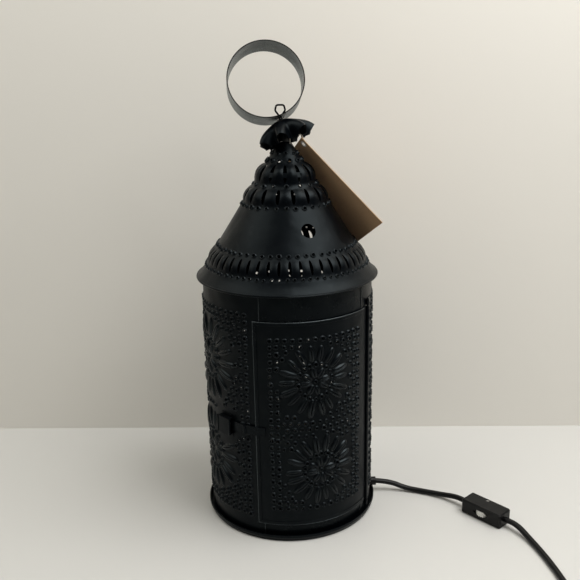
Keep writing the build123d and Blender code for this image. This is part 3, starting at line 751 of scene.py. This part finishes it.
def spaced(start, end, spacing):
    count = max(1, round((end - start) / spacing))
    return [start + (end - start) * index / count for index in range(count + 1)]


def boxEdge(left, right, low, high, spacing):
    across = spaced(left, right, spacing)
    up = spaced(low, high, spacing)
    return ([(x, low) for x in across] + [(right, y) for y in up[1:]]
            + [(x, high) for x in reversed(across[:-1])] + [(left, y) for y in reversed(up[1:-1])])


def filler(left, right, low, high, spacing, blocks):
    # lattice points clear of the cuts, each cut given as (x, y, reach)
    cell = 12
    margin = 0.5
    rowShare = 0.87
    shifts = (0.35, 0.75)
    grid = {}
    for x, y, reach in blocks:
        grid.setdefault((int(x // cell), int(y // cell)), []).append((x, y, reach))
    points = []
    for row, y in enumerate(spaced(low, high, spacing * rowShare)[1:-1]):
        for x in spaced(left, right, spacing)[:-1]:
            x += spacing * shifts[row % 2]
            near = [block for i in (-1, 0, 1) for j in (-1, 0, 1)
                    for block in grid.get((int(x // cell) + i, int(y // cell) + j), [])]
            if x < right - margin and isClear(x, y, near):
                points.append((x, y))
    return points


def isClear(x, y, blocks):
    return all(math.hypot(x - a, y - b) > reach for a, b, reach in blocks)


def panelSheet(name, form, shape, cuts, blocks):
    box = form.box(*shape["box"])
    fill = filler(*box, shape["fineness"], blocks)
    return cutSheet(name, form, boxEdge(*box, shape["edgeSpacing"]), cuts, fill)


# The punched pattern: two rosettes of chisel petals in a border of nail holes
patternShape = {
    "holeRadius": 1.25,
    "holeRange": (0.86, 1.12),
    "holeSides": 8,
    "holeShake": 0.35,
    "holeGap": 4.3,
    "heartRadius": 1.0,
    "innerPetals": 8,
    "innerStart": 0.25,
    "innerReach": 8.3,
    "innerLength": 9.2,
    "innerShake": 0.06,
    "ringHoles": 18,
    "ringReach": 15.6,
    "ringGap": 3.4,
    "outerPetals": 18,
    "outerReach": 24.6,
    "outerLength": 14.5,
    "outerShake": 0.04,
    "reachShake": 0.8,
    "petalTurn": 0.07,
    "slitShare": 0.84,  # how much of a petal is cut through
    "slitWidth": 1.5,
    # two rows of holes round the panel, clear of the rosettes
    "borderSpacing": 6.7,
    "borderInsets": (0, 5.6),
    "borderClear": 34,
    # rows of holes in what the border and the rosettes leave
    "fieldInset": 10.5,
    "fieldRise": 5.9,
    "fieldSpacing": 6.6,
    "fieldClear": 34.4,
    "fieldMargin": 8,
    "fieldGap": 4.9,
    "seed": 5,
}


def petalPattern(box, hearts, scale, shape, blanks=()):
    # holes as (x, y, radius), petals as (x, y, turn, length)
    chance = random.Random(shape["seed"] + round(box[0]))
    left, right, low, high = box
    holes = []
    petals = []

    def shake(title):
        return chance.uniform(-shape[title], shape[title])

    def isFree(x, y, gap):
        if any(a < x < b and c < y < d for a, b, c, d in blanks):
            return False
        return all(math.hypot(x - a, y - b) > gap for a, b, _ in holes)

    def isOffHearts(x, y, reach):
        return all(math.hypot(x - a, y - b) > reach * scale for a, b in hearts)

    def addHole(x, y, gap=shape["holeGap"], radius=shape["holeRadius"]):
        x += shake("holeShake")
        y += shake("holeShake")
        if isFree(x, y, gap):
            holes.append((x, y, radius * chance.uniform(*shape["holeRange"])))

    def addPetal(x, y, reach, turn, length):
        x += reach * scale * math.cos(turn)
        y += reach * scale * math.sin(turn)
        if isFree(x, y, 0):
            petals.append((x, y, turn + shake("petalTurn"), length * scale))

    for x, y in hearts:
        addHole(x, y, radius=shape["heartRadius"])
        for turn in evenTurns(shape["innerPetals"], shape["innerStart"]):
            turn += shake("innerShake")
            addPetal(x, y, shape["innerReach"], turn, shape["innerLength"])
        reach = shape["ringReach"] * scale
        for turn in evenTurns(shape["ringHoles"], 0.5):
            addHole(x + reach * math.cos(turn), y + reach * math.sin(turn), shape["ringGap"])
        for turn in evenTurns(shape["outerPetals"]):
            turn += shake("outerShake")
            reach = shape["outerReach"] + shake("reachShake")
            addPetal(x, y, reach, turn, shape["outerLength"])
    for inset in shape["borderInsets"]:
        edge = boxEdge(left + inset, right - inset, low + inset, high - inset,
                       shape["borderSpacing"])
        for x, y in edge:
            if isOffHearts(x, y, shape["borderClear"]):
                addHole(x, y)
    inset = shape["fieldInset"]
    for row, y in enumerate(spaced(low + inset, high - inset, shape["fieldRise"])):
        for x in spaced(left + inset, right - inset, shape["fieldSpacing"]):
            x += shape["fieldSpacing"] / 2 if row % 2 else 0
            if x < right - shape["fieldMargin"] and isOffHearts(x, y, shape["fieldClear"]):
                addHole(x, y, shape["fieldGap"])
    return holes, petals


def patternCuts(holes, petals, shape):
    cuts = [circle(x, y, radius, shape["holeSides"]) for x, y, radius in holes]
    cuts += [lens(x, y, turn, length * shape["slitShare"], shape["slitWidth"])
             for x, y, turn, length in petals]
    # the sheet's loose points keep off each hole, and off three places along each petal
    blocks = [(x, y, radius + 1.0) for x, y, radius in holes]
    for x, y, turn, length in petals:
        for share in (-0.32, 0, 0.32):
            blocks.append((x + length * share * math.cos(turn), y + length * share * math.sin(turn),
                           2.4))
    return cuts, blocks


def patternMarks(name, form, holes, petals, seed):
    def spot(x, y, turn, size):
        ahead = form.place(x + math.cos(turn) * 0.5, y + math.sin(turn) * 0.5)
        along = ahead - form.place(x, y)
        return (form.place(x, y), form.aim(x, y), along.normalized(), size)

    foot = markShapes["craterFoot"]
    nails = [spot(x, y, 0, (radius * foot,) * 3) for x, y, radius in holes]
    chisels = [spot(x, y, turn, (length, 1.0, 1.0)) for x, y, turn, length in petals]
    made = [standMarks(name + "Nails", nails, craters, seed, markShapes["craterSpin"])]
    if chisels:
        made.append(standMarks(name + "Chisels", chisels, slits, seed + 1,
                               markShapes["slitSpin"]))
    return made


def slab(name, inner, outer, low, high, left, right, bevel=0.14):
    # a bent strip with softened edges
    cross = [(inner, low + bevel), (inner, high - bevel), (inner + bevel, high),
             (outer - bevel, high), (outer, high - bevel), (outer, low + bevel),
             (outer - bevel, low), (inner + bevel, low)]
    points = [at(angle, radius, z) for angle in spaced(left, right, 2.0) for radius, z in cross]
    count = len(cross)
    last = len(points) - count
    faces = []
    for first in range(0, last, count):
        faces += ringFaces(first, first + count, count)
    faces += [tuple(range(count)), tuple(reversed(range(last, last + count)))]
    item = addMesh(name, points, faces)
    flipOut(item)
    item.data.set_sharp_from_angle(angle=math.radians(35))
    return item


def flipOut(item):
    work = bmesh.new()
    work.from_mesh(item.data)
    bmesh.ops.recalc_face_normals(work, faces=work.faces)
    work.to_mesh(item.data)
    work.free()


# Door: hemmed pierced sheet, rolled round the hinge wire
doorShape = {
    "radius": 77.8,
    "box": (-22.6, 62.2, 15.5, 206.0),  # first and last angle, bottom and top
    "hemWidth": 3.2,
    "hemGauge": 0.45,
    "beadRise": 0.08,
    "hinge": (70.2019, -35.4615),
    "bore": 0.87,
    "barrel": 1.35,
    "patternBox": (-12, 50.5, 32, 190),
    "hearts": ((16.6, 152), (20.2, 68)),
    "fineness": 3.4,
    "edgeSpacing": 4,
    "seed": 21,
}


def rolledBarrel(name, centre, bore, outer, low, high, sides=20):
    # a sheet edge rolled up, with the line where it closes
    rounding = 0.12
    lineDepth = 0.16
    lineSide = 6
    points = []
    for z in (low, low + rounding, high - rounding, high):
        trim = 0.1 if z in (low, high) else 0
        for radius in (outer - trim, bore):
            for side, turn in enumerate(evenTurns(sides)):
                reach = radius - lineDepth if side == lineSide and radius > bore else radius
                points.append((centre[0] + reach * math.cos(turn),
                               centre[1] + reach * math.sin(turn), z))
    faces = []
    level = 2 * sides
    for base in (0, level, 2 * level):
        outside = ringFaces(base, base + level, sides)
        inside = ringFaces(base + sides, base + level + sides, sides)
        for pair in zip(outside, inside):
            faces += pair
    for base in (0, 3 * level):
        faces += ringFaces(base, base + sides, sides)
    item = addMesh(name, points, faces)
    flipOut(item)
    return item


def addDoor(shape):
    form = Cylinder(shape["radius"])
    hearts = [form.flat(*heart) for heart in shape["hearts"]]
    box = form.box(*shape["patternBox"])
    holes, petals = petalPattern(box, hearts, 1.0, patternShape)
    sheet = panelSheet("doorSheet", form, shape, *patternCuts(holes, petals, patternShape))
    hemIn = shape["radius"] - 0.1
    hemOut = shape["radius"] + shape["hemGauge"]
    hem = shape["hemWidth"]
    hemTurn = math.degrees(hem / shape["radius"])
    left, right, low, high = shape["box"]
    items = [sheet] + patternMarks("door", form, holes, petals, shape["seed"])
    items += [slab("hemSide", hemIn, hemOut, low, high, left, left + hemTurn),
              slab("hemLow", hemIn, hemOut, low, low + hem, left, right - hemTurn),
              slab("hemHigh", hemIn, hemOut, high - hem, high, left, right - hemTurn),
              rolledBarrel("barrel", shape["hinge"], shape["bore"], shape["barrel"], low, high)]
    return joined("pierced_door", items, materials["painted_tin"])


def addDoorBead(shape):
    # the folded edges of the hem, in lighter, glossier paint: a painted highlight along the bead
    radius = shape["radius"]
    outer = radius + shape["hemGauge"] + shape["beadRise"]
    left, right, low, high = shape["box"]
    items = [slab("beadSide", radius, outer, low, high, left - 0.12, left + 0.3, 0.2),
             slab("beadHigh", radius, outer, high - 0.55, high + 0.05, left, right - 3, 0.2),
             slab("beadLow", radius, outer, low - 0.05, low + 0.4, left, right - 3, 0.16)]
    return joined("door_bead", items, materials["painted_edge_highlight"])


bead = addDoorBead(doorShape)
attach(bead, "door")
door = addDoor(doorShape)
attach(door, "door")
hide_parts("door_panel")

# Body wrap: three panels of the same pattern, a blank place round the latch
wrapShape = {
    "radius": 77.0,
    "box": (56.1, 341.7, 0.5, 233.82),
    "panels": ((75.0, 153.0), (164.3, 242.3), (253.6, 331.6)),
    "panelLow": 22.0,
    "panelHigh": 210.0,
    "scale": 1.2,
    "heartRise": (0.74, 0.26),
    "latchBlank": (303.0, 323.5, 87.0, 122.0),
    "cordHole": (92.0, 11.0, 4.25),  # angle, height, radius
    "edgeDepth": 0.45,
    "fineness": 3.6,
    "edgeSpacing": 4,
    "seed": 41,
}


def addWrap(shape):
    form = Cylinder(shape["radius"])
    blanks = [form.box(*shape["latchBlank"])]
    holes = []
    petals = []
    span = shape["panelHigh"] - shape["panelLow"]
    for start, end in shape["panels"]:
        box = form.box(start, end, shape["panelLow"], shape["panelHigh"])
        hearts = [form.flat((start + end) / 2, shape["panelLow"] + span * share)
                  for share in shape["heartRise"]]
        more = petalPattern(box, hearts, shape["scale"], patternShape, blanks)
        holes += more[0]
        petals += more[1]
    cuts, blocks = patternCuts(holes, petals, patternShape)
    angle, height, radius = shape["cordHole"]
    x, y = form.flat(angle, height)
    cuts.append(circle(x, y, radius, 24))
    blocks.append((x, y, radius + 1.4))
    items = [panelSheet("wrapSheet", form, shape, cuts, blocks)]
    items += patternMarks("wrap", form, holes, petals, shape["seed"])
    return joined("pierced_wrap", items, materials["painted_tin"])


def addOpeningEdge(shape):
    # the cut edges of the sheet at the door opening, in lighter, glossier paint: a painted
    # highlight along them
    inner = shape["radius"] - shape["edgeDepth"]
    outer = shape["radius"] + 0.1
    left, right, low, high = shape["box"]
    items = [slab("edgeLeft", inner, outer, low, high, right - 0.3, right + 0.05, 0.16),
             slab("edgeRight", inner, outer, low, high, left - 0.05, left + 0.3, 0.16)]
    return joined("opening_edge", items, materials["painted_edge_highlight"])


rim = addOpeningEdge(wrapShape)
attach(rim, "lantern")
wrap = addWrap(wrapShape)
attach(wrap, "lantern")
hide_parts("body_wrap")
print("door and wrap made")

# Roof cone: rings of bowed strips between chisel slits, rows of nail holes, three vents
roofShape = {
    "tip": 355.3,
    "slope": 0.637,
    "low": 239.0,
    "high": 346.0,
    # strips: count, top, bottom, how far they bow out, half width of the open slit, first angle
    "strips": ((13, 328.6, 313.0, 4.0, 1.6, 0.0), (17, 309.2, 296.0, 3.1, 1.8, 10.6),
               (48, 255.4, 242.8, 2.2, 1.4, 2.0)),
    "bowPower": 0.75,
    "stripEdge": 0.55,  # how far a strip bows out beside the slits, and how much more between
    "stripCrown": 0.45,
    # rows: count, height, hole radius, first angle
    "rows": ((10, 337.2, 1.1, 6.0), (12, 331.4, 1.45, 15.0), (16, 311.1, 1.15, 3.0),
             (30, 293.9, 1.2, 0.0), (54, 257.9, 1.2, 1.0), (72, 240.7, 0.95, 0.0)),
    "holeRange": (0.88, 1.1),
    "ventRadius": 6.5,
    "ventHeight": 276.5,
    "vents": (22.0, 142.0, 262.0),
    "ventRing": 1.1,
    "ventSides": 32,
    "seamClear": 176.5,  # no hole beyond this angle, where the sheet's edges meet
    "ringGap": 2.9,
    "ringSpacing": 3.2,
    "seed": 8,
    "markSeed": 61,
}


def signed(angle):
    return (angle + 180) % 360 - 180


def roofRelief(form, shape):
    def relief(x, y):
        angle, z = form.polar(x, y)
        for count, top, bottom, bow, _, first in shape["strips"]:
            if bottom < z < top:
                share = (z - bottom) / (top - bottom)
                across = ((angle - first) * count / 360 + 0.5) % 1 - 0.5
                crown = 0.5 + 0.5 * math.cos(2 * math.pi * (across + 0.5))
                fullness = shape["stripEdge"] + shape["stripCrown"] * crown ** 0.5
                return bow * math.sin(math.pi * share) ** shape["bowPower"] * fullness
        return 0.0
    return relief


def addRoof(shape):
    form = Cone(shape["tip"], shape["slope"], shape["low"], shape["high"])
    chance = random.Random(shape["seed"])
    cuts = []
    blocks = []
    spots = []
    fill = []
    for count, z, radius, first in shape["rows"]:
        for index in range(count):
            angle = signed(first + 360 * (index + chance.uniform(-0.1, 0.1)) / count)
            if abs(angle) > shape["seamClear"]:
                continue
            x, y = form.flat(angle, z + chance.uniform(-0.4, 0.4))
            size = radius * chance.uniform(*shape["holeRange"])
            cuts.append(circle(x, y, size, 8))
            blocks.append((x, y, size + 0.9))
            spots.append((x, y, size))
    # a ring of points round each vent keeps its edge clean
    ventRing = shape["ventRadius"] + shape["ventRing"]
    for angle in shape["vents"]:
        x, y = form.flat(signed(angle), shape["ventHeight"])
        cuts.append(circle(x, y, shape["ventRadius"], shape["ventSides"]))
        fill += circle(x, y, ventRing, shape["ventSides"], 0.1)
        blocks.append((x, y, ventRing - 0.1))
    for count, top, bottom, _, width, first in shape["strips"]:
        length = (top - bottom) / form.cosine
        for index in range(count):
            angle = signed(first + 360 * index / count)
            x, y = form.flat(angle, (top + bottom) / 2)
            # the slit swings a little from upright, as a hand held chisel leaves it
            turn = math.atan2(y, x) + chance.uniform(-0.05, 0.05)
            if abs(angle) < shape["seamClear"]:
                cuts.append(lens(x, y, turn, length * 0.92, 2 * width, 12))
                for share in (-0.4, -0.2, 0, 0.2, 0.4):
                    blocks.append((x + length * share * math.cos(turn),
                                   y + length * share * math.sin(turn), width + 0.5))
            for across in (-0.36, -0.18, 0, 0.18, 0.36):
                step = signed(angle + 360 * (0.5 + across) / count)
                for share in (0.04, 0.14, 0.27, 0.42, 0.58, 0.73, 0.86, 0.96):
                    fill.append(form.flat(step, bottom + share * (top - bottom)))
    bands = [(bottom - 0.8, top + 0.8) for _, top, bottom, _, _, _ in shape["strips"]]
    reach = form.near
    while reach < form.far - 2:
        reach += shape["ringGap"]
        z = form.tip - reach * form.cosine
        if any(low < z < high for low, high in bands):
            continue
        count = max(12, round(2 * math.pi * reach * form.sine / shape["ringSpacing"]))
        fill += [form.flat(-180 + 360 * (index + 0.5) / count, z) for index in range(count)]
    kept = [(x, y) for x, y in fill if isClear(x, y, blocks)]
    side = spaced(shape["low"], shape["high"], 2.6)[1:-1]
    edge = [form.flat(angle, shape["low"]) for angle in spaced(-180, 180, 2.4)]
    edge += [form.flat(180, z) for z in side]
    edge += [form.flat(angle, shape["high"]) for angle in reversed(spaced(-180, 180, 7.5))]
    edge += [form.flat(-180, z) for z in reversed(side)]
    items = [cutSheet("roofSheet", form, edge, cuts, kept, roofRelief(form, shape))]
    items += patternMarks("roof", form, spots, [], shape["markSeed"])
    return joined("pierced_roof", items, materials["bowed_strips"])


roof = addRoof(roofShape)
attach(roof, "lantern")
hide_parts("roof_cone")
print("roof made")

# The cord's facts
cordItem.data.materials.append(materials["cord_plastic"])
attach(cordItem, "lantern")
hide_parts("cord_lead", "cord_tail", "cord_coil", "cord_end")

# Floor, wall and light
stageShape = {
    "reach": 1400,
    "wallPlace": 147.6,
    "wallTurn": -0.0368,
    # colour, how fine its clouds are, roughness
    "floor": (colour(0.6, 0.597, 0.575), 3, 0.35),
    "wall": (colour(0.88, 0.855, 0.795), 2, 0.6),
    "worldStrength": 0.08,
    "worldSeen": 0.75,
    "worldColour": colour(0.88, 0.87, 0.85),
}
lamps = {
    "key": {"place": (560, -260, 1150), "target": (60, 40, 120), "size": 0.9, "power": 16.5,
            "tint": (1.0, 0.985, 0.96)},
    "fill": {"place": (-700, -120, 1100), "target": (-200, 60, 100), "size": 0.9, "power": 6.0,
             "tint": (1.0, 0.98, 0.91)},
}


def plainSurface(name, tone, scale, rough):
    # seen from behind it is clear, so the wall never hides the object
    made = Shader(name)
    clouds = made.noise(scale, 3)
    grain = made.noise(600, 3)
    dim = colour(*[value * 0.97 for value in tone[:3]])
    base = made.blend(clouds, tone, dim)
    made.finish(Base_Color=base, Roughness=rough + grain * 0.1, Normal=made.bump(grain, 0.00003))
    back = made.node("NewGeometry", {}, {}, "Backfacing")
    clear = made.node("BsdfTransparent", {}, {})
    front = Value(made, made.surface.outputs[0])
    both = made.node("MixShader", {}, [back, front, clear])
    made.feed(made.tree.nodes["Material Output"].inputs["Surface"], both)
    return made.material


def addStage(shape):
    far = shape["reach"]
    left = shape["wallPlace"] - far * shape["wallTurn"]
    right = shape["wallPlace"] + far * shape["wallTurn"]
    floor = addMesh("floor", [(-far, -far, 0), (far, -far, 0), (far, far, 0), (-far, far, 0)],
                    [(0, 1, 2, 3)], False)
    wall = addMesh("wall", [(-far, left, 0), (far, right, 0), (far, right, far), (-far, left, far)],
                   [(0, 1, 2, 3)], False)
    for item in (floor, wall):
        item.data.materials.append(plainSurface(item.name, *shape[item.name]))


def addLight(name, lamp):
    data = bpy.data.lights.new(name, "AREA")
    data.size = lamp["size"]
    data.energy = lamp["power"]
    data.color = lamp["tint"]
    item = addObject(name, data)
    item.location = Vector(lamp["place"]) * mm
    aim = Vector(lamp["target"]) - Vector(lamp["place"])
    item.rotation_euler = aim.to_track_quat("-Z", "Y").to_euler()


def addWorld(shape):
    strength = shape["worldStrength"]
    world = bpy.data.worlds.new("studio")
    world.use_nodes = True
    background = world.node_tree.nodes["Background"]
    background.inputs["Color"].default_value = shape["worldColour"]
    # seen straight on the world is pale; what it lights and mirrors stays dim
    add = world.node_tree.nodes.new
    rays = add("ShaderNodeLightPath")
    lift = add("ShaderNodeMath")
    lift.operation = "MULTIPLY_ADD"
    lift.inputs[1].default_value = shape["worldSeen"] - strength
    lift.inputs[2].default_value = strength
    world.node_tree.links.new(rays.outputs["Is Camera Ray"], lift.inputs[0])
    world.node_tree.links.new(lift.outputs[0], background.inputs["Strength"])
    scene.world = world


addStage(stageShape)
addWorld(stageShape)
for name, lamp in lamps.items():
    addLight(name, lamp)
scene.view_settings.view_transform = "Standard"
print("stage set")
